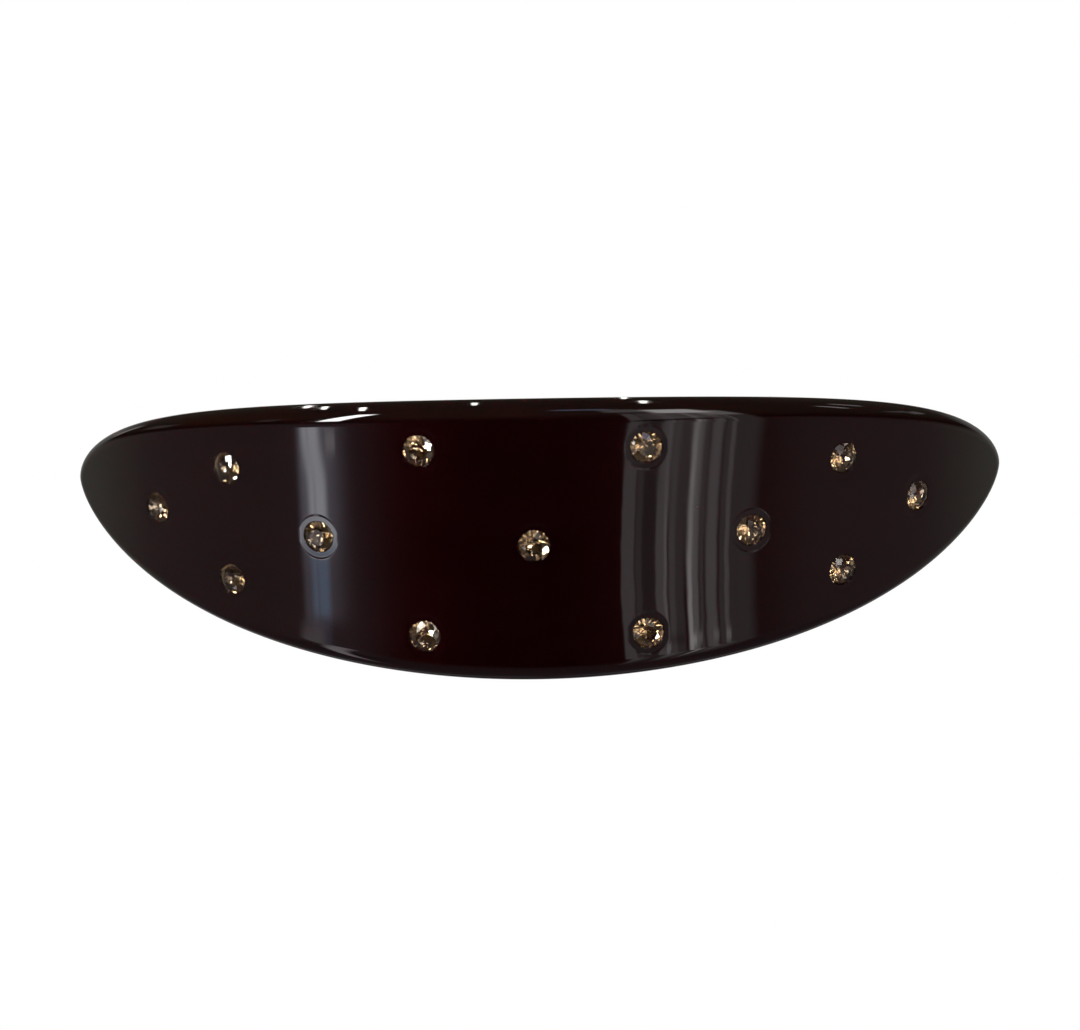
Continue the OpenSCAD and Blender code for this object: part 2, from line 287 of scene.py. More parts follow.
class Nodes:
    """A node tree that is being built."""

    def __init__(self, tree):
        self.tree = tree
        tree.nodes.clear()

    def add(self, kind, settings=None, inputs=None, output=0):
        """Adds a node: its settings first, then the value or link of each input that is named."""
        node = self.tree.nodes.new(kind)
        for name, value in (settings or {}).items():
            setattr(node, name, value)
        for name, value in (inputs or {}).items():
            socket = node.inputs[name]
            if isinstance(value, Number):
                self.tree.links.new(value.socket, socket)
            else:
                socket.default_value = value
        return Number(self, node.outputs[output]) if node.outputs else None

    def math(self, operation, *values):
        return self.add("ShaderNodeMath", {"operation": operation}, dict(enumerate(values)))

    def vector(self, x, y, z):
        return self.add("ShaderNodeCombineXYZ", None, {"X": x, "Y": y, "Z": z})

    def dot(self, a, b):
        """How far the vector a goes along the vector b."""
        settings = {"operation": "DOT_PRODUCT"}
        return self.add("ShaderNodeVectorMath", settings, {0: a, 1: b}, output="Value")

    def mix(self, factor, a, b):
        """Colour a where factor is 0 and colour b where it is 1."""
        values = {0: factor, 6: colour(a), 7: colour(b)}
        return self.add("ShaderNodeMix", {"data_type": "RGBA"}, values, output=2)

    def smooth(self, value, low, high, start=0.0, end=1.0):
        """start below low, end above high, and a smooth step between them."""
        values = {"Value": value, "From Min": low, "From Max": high, "To Min": start, "To Max": end}
        return self.add("ShaderNodeMapRange", {"interpolation_type": "SMOOTHSTEP"}, values)

    def place(self):
        """The point on the piece, in metres."""
        return self.add("ShaderNodeTexCoord", output="Object")

    def scaled(self, place, scale, turn=(0, 0, 0)):
        """The point multiplied by scale along each axis, after a turn."""
        return self.add("ShaderNodeMapping", None, {"Vector": place, "Scale": scale, "Rotation": turn})

    def noise(self, place, scale, detail=2.0, roughness=0.5, distortion=0.0):
        values = {
            "Vector": place, "Scale": scale, "Detail": detail,
            "Roughness": roughness, "Distortion": distortion,
        }
        return self.add("ShaderNodeTexNoise", None, values)

    def cells(self, place, scale):
        """Distance to the nearest of a scatter of points."""
        return self.add("ShaderNodeTexVoronoi", None, {"Vector": place, "Scale": scale})

    def bump(self, height, distance, normal=None):
        """Normal of a surface raised by height times distance, in metres."""
        values = {"Height": height, "Distance": distance, "Strength": 1.0}
        if normal is not None:
            values["Normal"] = normal
        return self.add("ShaderNodeBump", None, values)

    def finish(self, values):
        """Ends a material in one Principled shader with these inputs."""
        shader = self.add("ShaderNodeBsdfPrincipled", None, values)
        self.add("ShaderNodeOutputMaterial", None, {"Surface": shader})


def colour(value):
    """A colour with its alpha, or a link as it is."""
    return value if isinstance(value, Number) else (*value[:3], 1.0)


def new_material(name, kind=Nodes):
    material = bpy.data.materials.new(name)
    material.use_nodes = True
    return material, kind(material.node_tree)


def shining(material, nodes, light, strength):
    """Ends a material in one Emission shader, which isn't counted among the lights."""
    shader = nodes.add("ShaderNodeEmission", None, {"Color": light, "Strength": strength})
    nodes.add("ShaderNodeOutputMaterial", None, {"Surface": shader})
    material.cycles.emission_sampling = "NONE"
    return material


def acetate_material(sizes):
    """Deep burgundy acetate: faint swirls, a hand polish with slow waves, fine hairlines and dust."""
    material, nodes = new_material("burgundy_acetate")
    place = nodes.place()
    swirl = nodes.noise(nodes.scaled(place, (60, 90, 150), (0.3, 0.2, 0.5)), 1.0, 3.0, 0.55, 1.2)
    streak = nodes.noise(nodes.scaled(place, (25, 120, 420), (0, 0.25, 0)), 1.0, 2.0, 0.5, 0.6)
    depth = nodes.smooth(swirl * 0.7 + streak * 0.3, 0.36, 0.66)
    body = nodes.mix(depth, sizes.colour, sizes.colour_light)
    dust = nodes.smooth(nodes.cells(place, 190.0), 0.022, 0.010)
    chosen = nodes.smooth(nodes.noise(place, 55.0, 1.0), 0.60, 0.64)
    speck = dust * chosen
    smear = nodes.smooth(nodes.noise(nodes.scaled(place, (90, 90, 30)), 1.0, 3.0, 0.6), 0.45, 0.75)
    hairline = nodes.noise(nodes.scaled(place, (180, 180, 5200), (0, 0.42, 0)), 1.0, 2.0, 0.6)
    waves = nodes.noise(nodes.scaled(place, (260, 260, 190)), 1.0, 1.0, 0.4)
    normal = nodes.bump(waves, 1.6e-6)
    normal = nodes.bump(hairline, 3e-8, normal)
    normal = nodes.bump(speck, 6e-6, normal)
    nodes.finish({
        "Base Color": nodes.mix(speck * 0.5, body, (0.45, 0.33, 0.34)),
        "Roughness": 0.028 + smear * 0.035 + speck * 0.4,
        "IOR": 1.49,
        "Normal": normal,
    })
    return material


def glass_material(sizes):
    """Champagne crystal glass."""
    material, nodes = new_material("champagne_crystal")
    place = nodes.place()
    haze = nodes.smooth(nodes.noise(place, 1800.0, 2.0), 0.55, 0.8)
    nodes.finish({
        "Base Color": (*sizes.glass, 1.0),
        "Roughness": haze * 0.02,
        "IOR": 1.56,
        "Transmission Weight": 1.0,
    })
    return material


def foil_material(sizes):
    """Gold-lacquered foil on the back of the crystals."""
    material, nodes = new_material("gold_foil")
    place = nodes.place()
    blotch = nodes.noise(place, 900.0, 3.0, 0.6)
    tone = nodes.mix(nodes.smooth(blotch, 0.35, 0.7), sizes.foil, [c * 0.72 for c in sizes.foil])
    nodes.finish({
        "Base Color": tone,
        "Roughness": 0.03 + blotch * 0.05,
        "Metallic": 1.0,
    })
    return material


def steel_material(name, base, brush, roughness):
    """Plated steel: brushed along X, with a fine grain, stains and worn, brighter spots."""
    material, nodes = new_material(name)
    place = nodes.place()
    lines = nodes.noise(nodes.scaled(place, (120, 9000, 9000)), 1.0, 3.0, 0.7)
    pits = nodes.noise(place, 5200.0, 2.0, 0.6)
    stain = nodes.smooth(nodes.noise(nodes.scaled(place, (110, 160, 260)), 1.0, 4.0, 0.6), 0.42, 0.72)
    darker = [c * 0.74 for c in base]
    tone = nodes.mix(stain * 0.55, base, darker)
    tone = nodes.mix(nodes.smooth(lines, 0.35, 0.75) * 0.25, tone, [min(1.0, c * 1.12) for c in base])
    normal = nodes.bump(lines, brush)
    normal = nodes.bump(pits, 4e-7, normal)
    nodes.finish({
        "Base Color": tone,
        "Roughness": roughness + stain * 0.10 + lines * 0.08,
        "Metallic": 1.0,
        "Normal": normal,
    })
    return material


METALS = {                  # colour, depth of the brushed lines and roughness of each finish
    "nickel_plate": ((0.62, 0.60, 0.57), 5e-7, 0.16),
    "spring_steel": ((0.50, 0.50, 0.51), 7e-7, 0.22),
    "wing_steel": ((0.66, 0.64, 0.61), 3e-7, 0.12),
    "rivet_nickel": ((0.68, 0.66, 0.62), 1e-7, 0.10),
}


def metal(name):
    """The finish of this name, made the first time that it is asked for."""
    return bpy.data.materials.get(name) or steel_material(name, *METALS[name])


# -------------------- the acetate plate


class Plate:
    """The plate's shape: an oval sheet bent about a vertical axis, with a rounded border."""

    def __init__(self, sizes, crystals):
        self.r = sizes.bend
        self.thick = sizes.thickness
        self.border = sizes.border
        self.draw = sizes.end_draw
        self.half_arc = sizes.half_arc
        self.half_h = PLATE_HIGH.z
        self.axis_y = PLATE_LOW.y + self.r
        self.face_arc = self.half_arc - self.border
        self.face_h = self.half_h - self.border
        self.spot_r = crystals.spot_radius
        self.spot_depth = crystals.spot_depth
        self.seat_r = crystals.radius + SEAT_PLAY
        self.block = self.spot_r + BLOCK_MARGIN

    def around(self, arc, r):
        """Outward, along and up vectors at an arc length along the domed face, and the point at r."""
        a = arc / self.r
        zero = np.zeros_like(a)
        out = np.stack([np.sin(a), -np.cos(a), zero], -1)
        along = np.stack([np.cos(a), np.sin(a), zero], -1)
        return out, along, r[..., None] * out + np.array([0, self.axis_y, 0])

    def face_half_height(self, arc):
        """Half height of the flat part of the domed face: the outline [cos, sin^draw] at this arc."""
        share = np.clip(1 - (arc / self.face_arc) ** 2, 0, 1)
        return self.face_h * share ** (self.draw / 2)

    def border_band(self, turn_from_x, side):
        """The rounded border over the angles of the outline. The section is a half ellipse, turned
        from -90 degrees on the inside face to 90 on the domed one; the outline shrinks by
        border (1 - cos turn), and the radius by half the thickness times (1 - sin turn).
        The normals are the cross product of the two slopes."""
        phi = turn_from_x[:, None]
        turn = np.linspace(-math.pi / 2, math.pi / 2, ROUND_STEPS + 1)[None, :]
        inset = self.border * (1 - np.cos(turn))
        slope = self.border * np.sin(turn)
        sine = np.sin(phi)
        arc = (self.half_arc - inset) * np.cos(phi)
        z = (self.half_h - inset) * sine**self.draw
        r = self.r - self.thick / 2 * (1 - np.sin(turn)) + 0 * phi
        out, along, points = self.around(arc, r)
        points[..., 2] = side * z
        # slope along the outline, divided by sin^(draw - 1) so that it holds at the tips
        round_along = -r * (self.half_arc - inset) * sine ** (2 - self.draw) / self.r
        round_up = (self.half_h - inset) * self.draw * np.cos(phi)
        over_out = self.thick / 2 * np.cos(turn) + 0 * phi
        over_along = -r * slope * np.cos(phi) / self.r
        over_up = -slope * sine**self.draw
        normal = (
            (round_up * over_out)[..., None] * along
            - (round_along * over_out)[..., None] * UP
            + (round_along * over_up - round_up * over_along)[..., None] * out
        )
        normal /= np.linalg.norm(normal, axis=-1, keepdims=True)
        normal[..., 2] *= side
        return points, normal

    def columns(self, arcs):
        """Arcs of the grid's upright lines, the kind of column at each side of it, and the share."""
        turn = np.tan(np.linspace(-math.pi / 4, math.pi / 4, BLOCK + 1))
        across = [arc + self.block * turn for arc in arcs]
        end = math.acos((arcs[-1] + self.block) / self.face_arc)
        tip = self.face_arc * np.cos(np.linspace(0, end, TIP_STEPS + 1))[:-1]
        lines = [-tip]
        kinds = [np.zeros(TIP_STEPS)]
        for k, block in enumerate(across):
            lines.append(block)
            kinds.append(np.full(BLOCK + 1, float(k)))
            if k + 1 < len(across):
                share = np.linspace(0, 1, GAP_STEPS + 1)[1:-1]
                lines.append(block[-1] + share * (across[k + 1][0] - block[-1]))
                kinds.append(k + smooth_step(share, 0, 1))
        lines.append(tip[::-1])
        kinds.append(np.full(TIP_STEPS, len(arcs) - 1.0))
        return np.concatenate(lines), np.concatenate(kinds)

    def rows(self, arc, height):
        """Heights of the grid's points at these arcs, for a column of crystals at +-height. Rows
        gather round each crystal as the upright lines do, and are spread evenly elsewhere."""
        limit = self.face_half_height(arc)
        edge = self.face_half_height(np.clip(arc, -self.last_arc, self.last_arc))
        turn = np.tan(np.linspace(-math.pi / 4, math.pi / 4, BLOCK + 1))[:, None]
        if height == 0:
            rest = np.linspace(0, 1, PLAIN_STEPS + 1)[:-1, None]
            block = self.block * turn + 0 * edge
            low = -edge + rest * (edge - self.block)
        else:
            rest = np.linspace(0, 1, EDGE_STEPS + 1)[:-1, None]
            top = np.minimum(height + self.block, edge - GRID_MARGIN)
            upper = height + np.where(turn > 0, top - height, self.block) * turn
            share = np.linspace(-1, 1, BETWEEN_STEPS + 1)[1:-1, None]
            between = share * (height - self.block) + 0 * edge
            block = np.concatenate([-upper[::-1], between, upper])
            low = -edge + rest * (edge - top)
        levels = np.concatenate([low, block, -low[::-1]])
        return levels * (limit / np.maximum(edge, 1e-9))

    def grid(self, seats):
        """Arc and height of every point of the domed face's grid, columns first."""
        arcs = sorted({round(arc, 6) for arc, _ in seats})
        self.last_arc = arcs[-1] + self.block
        lines, kinds = self.columns(arcs)
        heights = [max(z for arc, z in seats if abs(arc - line) < 1e-5) for line in arcs]
        heights = [z if z > LEVEL else 0 for z in heights]
        table = np.stack([self.rows(lines, height) for height in heights])
        low = np.floor(kinds).astype(int)
        high = np.minimum(low + 1, len(arcs) - 1)
        share = kinds - low
        at = np.arange(len(lines))
        z = table[low, :, at].T * (1 - share) + table[high, :, at].T * share
        return lines, z.T

    def seat_rings(self, corner_arc, corner_z, arc, height):
        """Rings of points from a block's border in to the bottom of a crystal's seat. The surface is
        the lower of the cylinder and of a flat spot face with a sloping wall, with the corner
        between them rounded off; inside it a chamfer, the seat's wall and a cone follow."""
        angle = np.arange(SIDES) * 2 * math.pi / SIDES - 3 * math.pi / 4
        cos, sin = np.cos(angle), np.sin(angle)
        outer = self.spot_r + WALL_REACH
        shares = np.linspace(0, 1, 4)[:, None]
        flat = np.concatenate([
            np.linspace(outer, self.spot_r - FLAT_MARGIN, 16)[1:],
            np.linspace(self.spot_r - FLAT_MARGIN, self.seat_r + FLAT_MARGIN, 12)[1:],
        ])
        u0 = self.r * np.sin((corner_arc - arc) / self.r)
        w0 = corner_z - height
        u = np.concatenate([u0 + shares * (outer * cos - u0), flat[:, None] * cos])
        w = np.concatenate([w0 + shares * (outer * sin - w0), flat[:, None] * sin])
        rise, du, dw = self.spot_height(u, w)
        rise[0] = np.sqrt(self.r**2 - u[0] ** 2) - self.r
        steps = np.array([0.03, 0.012, 0.0, 0.0, 0.0])
        drops = np.array([0.008, 0.03, 0.07, 0.26, 0.30])
        tilt = np.radians([35, 65, 89, 89, 45])
        inner = self.seat_r + steps[:, None] * MM
        u = np.concatenate([u, inner * cos, 0 * angle[None]])
        w = np.concatenate([w, inner * sin, 0 * angle[None]])
        base = -self.spot_depth
        drop = np.concatenate([base - drops * MM, [-SEAT_DEPTH]])[:, None] + 0 * angle
        rise = np.concatenate([rise, drop])
        tilt = np.append(tilt, math.radians(45))[:, None]
        du = np.concatenate([du, -np.tan(tilt) * cos])
        dw = np.concatenate([dw, -np.tan(tilt) * sin])
        along, out, centre = seat_frame(arc, height, self.r, self.axis_y)
        points = centre + u[..., None] * along + w[..., None] * UP + rise[..., None] * out
        normal = out + du[..., None] * along + dw[..., None] * UP
        normal /= np.linalg.norm(normal, axis=-1, keepdims=True)
        return points, normal

    def spot_height(self, u, w):
        """Height of the face above a crystal's tangent plane at u along and w up, and minus its two
        slopes: a rounded minimum of the cylinder and of the spot face."""
        reach = np.hypot(u, w)
        cylinder = np.sqrt(self.r**2 - u**2) - self.r
        past = reach - self.spot_r
        ramp = (past + np.hypot(past, WALL_SOFT)) / 2
        spot = -self.spot_depth + WALL_SLOPE * ramp
        ramp_slope = WALL_SLOPE * (1 + past / np.hypot(past, WALL_SOFT)) / 2
        gap = cylinder - spot
        root = np.hypot(gap, ROUND_OFF)
        height = (cylinder + spot - root) / 2
        share = (1 - gap / root) / 2
        slope_cylinder = -u / np.sqrt(self.r**2 - u**2)
        du = share * slope_cylinder + (1 - share) * ramp_slope * u / reach
        dw = (1 - share) * ramp_slope * w / reach
        return height, -du, -dw

    def mesh(self, seats):
        """All the points, normals and faces of the plate."""
        shell = Shell()
        lines, z = self.grid(seats)
        out, _, face = self.around(lines[:, None] + 0 * z, self.r + 0 * z)
        face[..., 2] = z
        cells = quads(shell.add(face, out))
        keep = np.ones(cells.shape[:2], bool)
        for arc, height in seats:
            left = int(np.argmin(abs(lines - (arc - self.block))))
            inner = height - math.copysign(self.block, height)
            low = int(np.argmin(abs(z[left] - inner))) - (BLOCK if height < 0 else 0)
            keep[left : left + BLOCK, low : low + BLOCK] = False
            at = border_loop(left, low)
            points, normals = self.seat_rings(lines[at[0]], z[at], arc, height)
            points[0] = face[at]
            normals[0] = out[at]
            ring = shell.add(points, normals)
            shell.fill(quads(np.concatenate([ring, ring[:, :1]], 1)[:, ::-1]))
        shell.fill(cells[keep])
        phi = np.arccos(np.clip(lines / self.face_arc, -1, 1))
        for side in (1, -1):
            band = shell.add(*self.border_band(phi, side))
            shell.fill(quads(band[:, ::-side]))
        back_z = np.linspace(-1, 1, BACK_STEPS + 1)[None] * self.face_half_height(lines)[:, None]
        inside_r = self.r - self.thick + 0 * back_z
        out, _, back = self.around(lines[:, None] + 0 * back_z, inside_r)
        back[..., 2] = back_z
        shell.fill(quads(shell.add(back, -out)[:, ::-1]))
        return shell.arrays()


class Shell:
    """Grids of points that are gathered into one mesh."""

    def __init__(self):
        self.points, self.normals, self.faces = [], [], []
        self.count = 0

    def add(self, points, normals):
        """Takes in a grid of points, and gives the grid of their numbers."""
        index = np.arange(points[..., 0].size).reshape(points.shape[:2]) + self.count
        self.points.append(points.reshape(-1, 3))
        self.normals.append(normals.reshape(-1, 3))
        self.count += index.size
        return index

    def fill(self, cells):
        self.faces.append(cells.reshape(-1, 4))

    def arrays(self):
        return [np.concatenate(part) for part in (self.points, self.normals, self.faces)]


def border_loop(left, low):
    """Columns and rows of the grid's points round a block, anticlockwise from its lower left corner."""
    step = np.arange(BLOCK)
    zero = np.zeros(BLOCK, int)
    across = np.concatenate([step, zero + BLOCK, BLOCK - step, zero])
    up = np.concatenate([zero, step, zero + BLOCK, BLOCK - step])
    return left + across, low + up


def seat_frame(arc, height, bend, axis_y):
    """Along and outward vectors at a seat, and the point of the domed face at its middle."""
    a = arc / bend
    along = np.array([math.cos(a), math.sin(a), 0])
    out = np.array([math.sin(a), -math.cos(a), 0])
    return along, out, bend * out + np.array([0, axis_y, height])


def seat_places(plate_r, axis_y):
    """Arc along the domed face and height of each crystal, from the middle of its CAD solid."""
    places = []
    for name in CRYSTALS:
        low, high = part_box(name)
        middle = (low + high) / 2
        places.append((plate_r * math.atan2(middle.x, axis_y - middle.y), middle.z))
    return places


class BARRETTE_OT_plate(bpy.types.Operator):
    """Make the bent acetate plate with its rounded border and the crystals' seats"""

    bl_idname = "barrette.plate"
    bl_label = "Acetate plate"

    def execute(self, context):
        sizes = context.scene.barrette_plate
        plate = Plate(sizes, context.scene.barrette_crystals)
        seats = seat_places(plate.r, plate.axis_y)
        points, normals, faces = weld(*plate.mesh(seats))
        piece = new_piece("acetate_plate", points, faces, acetate_material(sizes), normals)
        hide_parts("bow_plate")
        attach(piece, "barrette")
        return {"FINISHED"}


# -------------------- the crystals


def brilliant(radius, turn):
    """Points and flat faces of a round brilliant whose girdle is at height 0. The table, the eight
    stars, eight kites and sixteen girdle facets are the crown; the pavilion has eight mains and
    sixteen halves. Each kite lies in the plane through a table corner and the girdle."""
    table_r, star_r, half_r = 0.56 * radius, 0.80 * radius, 0.24 * radius
    table_z, girdle_z, girdle_low, culet_z = 0.27 * radius, 0.0, -0.077 * radius, -0.96 * radius
    eighth = np.arange(8) * math.pi / 4 + turn
    sixteenth = np.arange(16) * math.pi / 8 + turn
    share = math.cos(math.pi / 8)

    def ring(r, z, angles):
        return np.stack([r * np.cos(angles), r * np.sin(angles), np.full(len(angles), z)], -1)

    star_z = table_z - (star_r * share - table_r) * (table_z - girdle_z) / (radius - table_r)
    half_z = culet_z + half_r * share * (girdle_low - culet_z) / radius
    points = np.concatenate([
        ring(table_r, table_z, eighth),
        ring(star_r, star_z, eighth + math.pi / 8),
        ring(radius, girdle_z, sixteenth),
        ring(radius, girdle_low, sixteenth),
        ring(half_r, half_z, eighth + math.pi / 8),
        np.array([[0, 0, culet_z]]),
    ])
    table, star, upper, lower, half, culet = 0, 8, 16, 32, 48, 56
    crown = [[table + k for k in range(8)]]
    pavilion = []
    for k in range(8):
        after, before = (k + 1) % 8, (k - 1) % 8
        main, between, following = 2 * k, 2 * k + 1, (2 * k + 2) % 16
        crown.append([table + k, star + k, table + after])
        crown.append([table + k, star + before, upper + main, star + k])
        crown.append([star + k, upper + main, upper + between])
        crown.append([star + k, upper + between, upper + following])
        pavilion.append([culet, half + k, lower + main, half + before])
        pavilion.append([half + k, lower + between, lower + main])
        pavilion.append([half + k, lower + following, lower + between])
        crown.append([upper + main, lower + main, lower + between, upper + between])
        crown.append([upper + between, lower + between, lower + following, upper + following])
    return points, crown, pavilion


class BARRETTE_OT_crystals(bpy.types.Operator):
    """Make the thirteen faceted crystals, each in its seat"""

    bl_idname = "barrette.crystals"
    bl_label = "Crystals"

    def execute(self, context):
        sizes = context.scene.barrette_crystals
        bend = context.scene.barrette_plate.bend
        axis_y = PLATE_LOW.y + bend
        glass, foil = glass_material(sizes), foil_material(sizes)
        chance = np.random.default_rng(7)
        for name, (arc, height) in zip(CRYSTALS, seat_places(bend, axis_y)):
            turn, tilt_a, tilt_b = chance.uniform(0, math.pi / 4), *chance.normal(0, CRYSTAL_TILT, 2)
            points, crown, pavilion = brilliant(sizes.radius, turn)
            tilt = Matrix.Rotation(tilt_a, 3, "X") @ Matrix.Rotation(tilt_b, 3, "Y")
            points = points @ np.array(tilt).T
            points[:, 2] -= GIRDLE_DEPTH
            along, out, centre = seat_frame(arc, height, bend, axis_y)
            # along, up and outward are left-handed, so that the facets turn over
            points = centre + points[:, :1] * along + points[:, 1:2] * UP + points[:, 2:] * out
            piece = new_piece(f"{name}_cut", points, crown + pavilion, glass)
            piece.data.materials.append(foil)
            slots = [0] * len(crown) + [1] * len(pavilion)
            piece.data.polygons.foreach_set("material_index", slots)
            outward(piece)
            piece.visible_shadow = False
            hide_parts(name)
            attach(piece, "barrette")
        return {"FINISHED"}


def outward(piece, smooth=False):
    """Turns the faces of a closed mesh outwards and, if smooth is asked for, shades it smooth between
    its creases.
    """
    solid = bmesh.new()
    solid.from_mesh(piece.data)
    bmesh.ops.recalc_face_normals(solid, faces=solid.faces)
    if smooth:
        crease(solid)
    solid.to_mesh(piece.data)
    solid.free()


# -------------------- the clip


BAR_STEPS = 40              # steps along half of the tension bar
LUG_STEPS = 8               # steps along a lug
CORNER = 0.05 * MM          # radius of the clip's rubbed corners
SHARP = math.radians(35)    # edges sharper than this keep their crease
RUBBED = math.radians(40)   # edges sharper than this are rubbed round
FLAT = math.radians(0.5)    # faces that meet at less than this are one flat
JOIN = 2e-6                 # points of a CAD solid closer than this are one point
SLIVER = 1e-6               # edges shorter than this are dropped


def crease(solid):
    """Makes a mesh smooth except along its sharp edges."""
    for face in solid.faces:
        face.smooth = True
    for edge in solid.edges:
        edge.smooth = len(edge.link_faces) == 2 and edge.calc_face_angle() < SHARP


def machined(node, finish, body):
    """A joined copy of a CAD solid, with its flats made whole and its corners rounded, which
    stands for it."""
    solid = bmesh.new()
    solid.from_mesh(frame["nodes"][node].data)
    bmesh.ops.remove_doubles(solid, verts=solid.verts, dist=JOIN)
    bmesh.ops.dissolve_degenerate(solid, edges=solid.edges, dist=SLIVER)
    bmesh.ops.dissolve_limit(solid, angle_limit=FLAT, verts=solid.verts, edges=solid.edges)
    crease(solid)
    mesh = bpy.data.meshes.new(f"{node}_finished")
    solid.to_mesh(mesh)
    solid.free()
    mesh.materials.append(metal(finish))
    piece = placed(f"{node}_finished", mesh)
    rounding = piece.modifiers.new("rounded_corners", "BEVEL")
    rounding.width = CORNER
    rounding.segments = 2
    rounding.limit_method = "ANGLE"
    rounding.angle_limit = RUBBED
    rounding.harden_normals = True
    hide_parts(node)
    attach(piece, body)
    return piece


class BARRETTE_OT_base(bpy.types.Operator):
    """Make the clip's base strip, with its hinge ears and keepers"""

    bl_idname = "barrette.base"
    bl_label = "Clip base"

    def execute(self, context):
        machined("clip_base", "nickel_plate", "barrette")
        return {"FINISHED"}


class BARRETTE_OT_arm(bpy.types.Operator):
    """Make the arm that swings on the hinge pin"""

    bl_idname = "barrette.arm"
    bl_label = "Clip arm"

    def execute(self, context):
        machined("clip_arm", "nickel_plate", "arm")
        return {"FINISHED"}


class BARRETTE_OT_catch(bpy.types.Operator):
    """Make the catch: its spring and the two wings that are pinched to open it"""

    bl_idname = "barrette.catch"
    bl_label = "Catch"

    def execute(self, context):
        machined("catch_spring", "spring_steel", "barrette")
        machined("catch_wing_upper", "wing_steel", "upper_wing")
        machined("catch_wing_lower", "wing_steel", "lower_wing")
        return {"FINISHED"}


class BARRETTE_OT_rivets(bpy.types.Operator):
    """Make the hinge pin, the studs that hold the clip to the plate and the catch's rivet"""

    bl_idname = "barrette.rivets"
    bl_label = "Pin, studs and rivet"

    def execute(self, context):
        for node in ("plate_stud_left", "plate_stud_right", "hinge_pin", "catch_rivet"):
            machined(node, "rivet_nickel", "barrette")
        return {"FINISHED"}


def rounded_oblong(half_width, half_height):
    """Points of an oblong with corners of the rubbed radius, anticlockwise: each corner's centre
    plus its radius times (cos, sin) of an angle that turns a quarter at a corner."""
    quarter = np.arange(4)[:, None] * math.pi / 2
    angle = (quarter + np.linspace(0, math.pi / 2, 4)).ravel()
    corner = np.repeat(np.array([[1, 1], [-1, 1], [-1, -1], [1, -1]]), 4, axis=0)
    centre = corner * (np.array([half_width, half_height]) - CORNER)
    return centre + CORNER * np.stack([np.cos(angle), np.sin(angle)], -1)


def carried(profile, centres, across, through):
    """A closed solid: at each centre along a path, the profile's first number times across plus
    its second times through, with a flat face at each end."""
    points = centres[:, None] + profile[:, :1] * across[:, None] + profile[:, 1:] * through[:, None]
    index = np.arange(points[..., 0].size).reshape(points.shape[:2])
    loop = np.concatenate([index, index[:, :1]], 1)
    ends = [index[0].tolist(), index[-1, ::-1].tolist()]
    return points.reshape(-1, 3), quads(loop).reshape(-1, 4).tolist() + ends


class BARRETTE_OT_tension_bar(bpy.types.Operator):
    """Make the tension bar in two halves, each a strip curved from the middle to its end, with a lug
    for its keeper
    """

    bl_idname = "barrette.tension_bar"
    bl_label = "Tension bar"

    def execute(self, context):
        sizes = context.scene.barrette_bar
        low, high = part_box("tension_bar")
        centre_y = low.y + sizes.bend
        end = math.asin(high.x / sizes.bend)
        lug_y = centre_y - math.sqrt(sizes.bend**2 - sizes.lug_x**2) + sizes.thickness / 2
        for name, side in (("left", -1), ("right", 1)):
            angle = side * np.linspace(0, end, BAR_STEPS + 1)
            zero = 0 * angle
            out = np.stack([np.sin(angle), -np.cos(angle), zero], -1)
            path = (sizes.bend - sizes.thickness / 2) * out + np.array([0, centre_y, 0])
            section = rounded_oblong(sizes.width / 2, sizes.thickness / 2)
            strip, faces = carried(section, path, np.stack([zero, zero, zero + 1], -1), out)
            rise = np.linspace(low.z, high.z, LUG_STEPS + 1)
            still = np.ones((LUG_STEPS + 1, 1))
            path = np.stack([0 * rise + side * sizes.lug_x, 0 * rise + lug_y, rise], -1)
            section = rounded_oblong(sizes.lug_width / 2, sizes.thickness / 2)
            lug, more = carried(section, path, still * [1.0, 0, 0], still * [0, 1.0, 0])
            faces += [[corner + len(strip) for corner in face] for face in more]
            points = np.concatenate([strip, lug])
            piece = new_piece(f"tension_bar_{name}_finished", points, faces, metal("spring_steel"))
            outward(piece, smooth=True)
            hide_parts("tension_bar")
            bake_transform(piece)
        return {"FINISHED"}


# -------------------- the stage


LIGHT_DISTANCE = 0.9        # from the barrette to each light
SPARKLE_SIZE = 0.09         # side of the small lights that make the crystals glitter
SPARKLE_POWER = 2.6
SPARKLES = [(-60, 58), (35, 62), (50, 32), (-12, -58), (10, 5), (30, 12), (60, -30), (-35, 12)]
BACKDROP = 1.4              # radius of the white backdrop
FLOOR = 1.3                 # radius of the floor
FLOOR_DROP = 0.35           # from the barrette's middle down to the floor
ROOM = 20                   # radius of the ball of surroundings
AIM = Vector((0.65 * MM, PLATE_LOW.y, 3.2 * MM))
SENSOR = 36                 # width of the camera's sensor in millimetres

